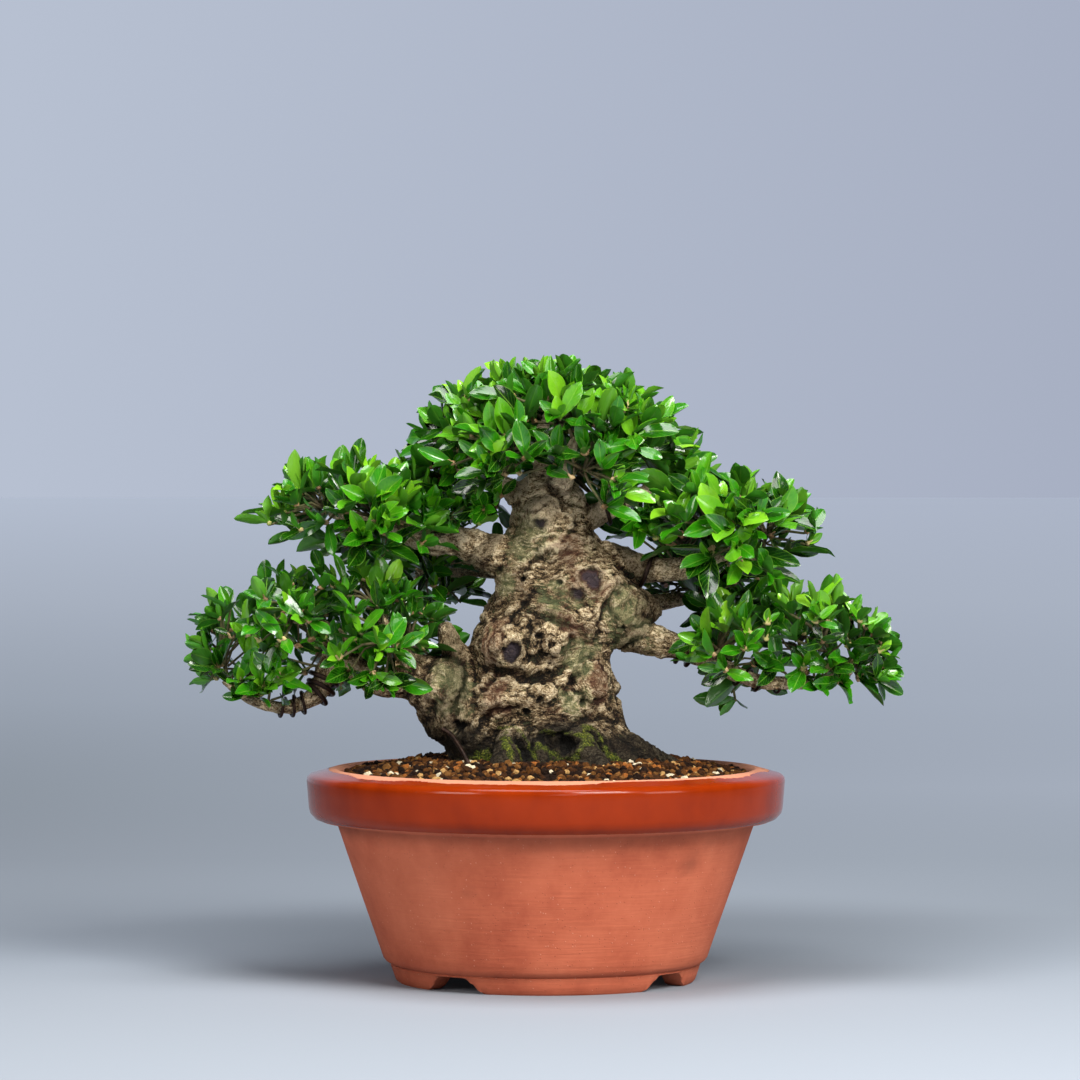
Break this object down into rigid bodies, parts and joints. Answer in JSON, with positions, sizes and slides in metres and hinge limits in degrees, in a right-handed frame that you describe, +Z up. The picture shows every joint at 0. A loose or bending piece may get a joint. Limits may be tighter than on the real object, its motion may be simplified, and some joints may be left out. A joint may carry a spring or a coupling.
{
  "type": "gardenia bonsai",
  "caption": "Small-leaved gardenia bonsai with a gnarled trunk, layered leaf pads and wired limbs, planted in a round clay training pot.",
  "frame": {"origin": "middle of the pot's foot, on the surface it stands on", "axes": "+X to the right of the tree's front, along its widest spread; +Y to the back; +Z up"},
  "size_m": [0.4552, 0.3, 0.3954],
  "materials": {
    "clay": "matte",
    "screen": "matte",
    "soil": "matte",
    "bark": "matte",
    "foliage": "gloss",
    "wire": "satin"
  },
  "bodies": {
    "root": {"pot": "clay", "drain_screen": "screen", "soil": "soil", "trunk": "bark", "wire_low_left": "wire", "wire_low_left_tip": "wire", "wire_low_right": "wire", "wire_low_right_tip": "wire", "wire_up_right": "wire", "wire_crown": "wire", "wire_tie_down": "wire", "spray_crown_1": "foliage", "spray_crown_2": "foliage", "spray_crown_3": "foliage", "spray_crown_4": "foliage", "spray_crown_5": "foliage", "spray_crown_6": "foliage", "spray_crown_7": "foliage", "spray_crown_8": "foliage", "spray_crown_9": "foliage", "spray_crown_10": "foliage", "spray_crown_11": "foliage", "spray_up_left_1": "foliage", "spray_up_left_2": "foliage", "spray_up_left_3": "foliage", "spray_up_left_4": "foliage", "spray_up_right_1": "foliage", "spray_up_right_2": "foliage", "spray_up_right_3": "foliage", "spray_up_right_4": "foliage", "spray_low_left_1": "foliage", "spray_low_left_2": "foliage", "spray_low_left_3": "foliage", "spray_low_left_4": "foliage", "spray_low_left_5": "foliage", "spray_low_left_6": "foliage", "spray_low_left_7": "foliage", "spray_low_right_1": "foliage", "spray_low_right_2": "foliage", "spray_low_right_3": "foliage", "spray_low_right_4": "foliage", "spray_low_right_5": "foliage", "spray_mid_right_1": "foliage", "spray_mid_right_2": "foliage", "spray_mid_right_3": "foliage", "spray_mid_left_1": "foliage", "spray_mid_left_2": "foliage"}
  },
  "joints": []
}
